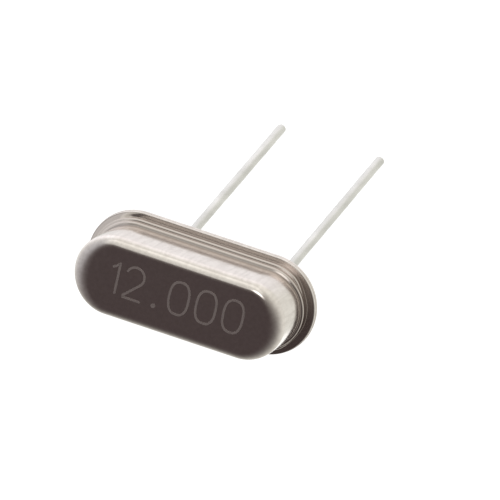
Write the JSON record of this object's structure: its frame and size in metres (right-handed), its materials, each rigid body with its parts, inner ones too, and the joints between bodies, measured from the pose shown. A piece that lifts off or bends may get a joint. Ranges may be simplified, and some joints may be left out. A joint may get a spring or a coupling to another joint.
{
  "type": "crystal oscillator",
  "caption": "Low-profile quartz crystal: an oblong welded metal can with a stepped flange on a base, and two round wire leads that lean to one side.",
  "frame": {"origin": "centre of the seating plane under the base, midway between the two leads", "axes": "+Z through the can, away from the board; +X along the long side from lead 1 to lead 2; +Y towards the side that the leads lean to"},
  "size_m": [0.011, 0.0055, 0.0181],
  "materials": {
    "can_plate": "nickel plate, glossy with a fine drawn grain",
    "base_plate": "nickel plate, glossy",
    "seal_glass": "dark sealing glass, glossy",
    "tinned_wire": "dull tin over a round wire",
    "spring_strip": "thin spring strip, satin",
    "quartz": "clear polished quartz",
    "silver_film": "plated silver film",
    "silver_glue": "matt silver-filled glue"
  },
  "bodies": {
    "root": {"can": "can_plate", "base": "base_plate", "glass_seal_1": "seal_glass", "glass_seal_2": "seal_glass", "lead_1": "tinned_wire", "lead_2": "tinned_wire", "clip_1": "spring_strip", "clip_2": "spring_strip", "quartz_blank": "quartz", "electrode_upper": "silver_film", "electrode_lower": "silver_film", "adhesive_1": "silver_glue", "adhesive_2": "silver_glue"}
  },
  "joints": []
}
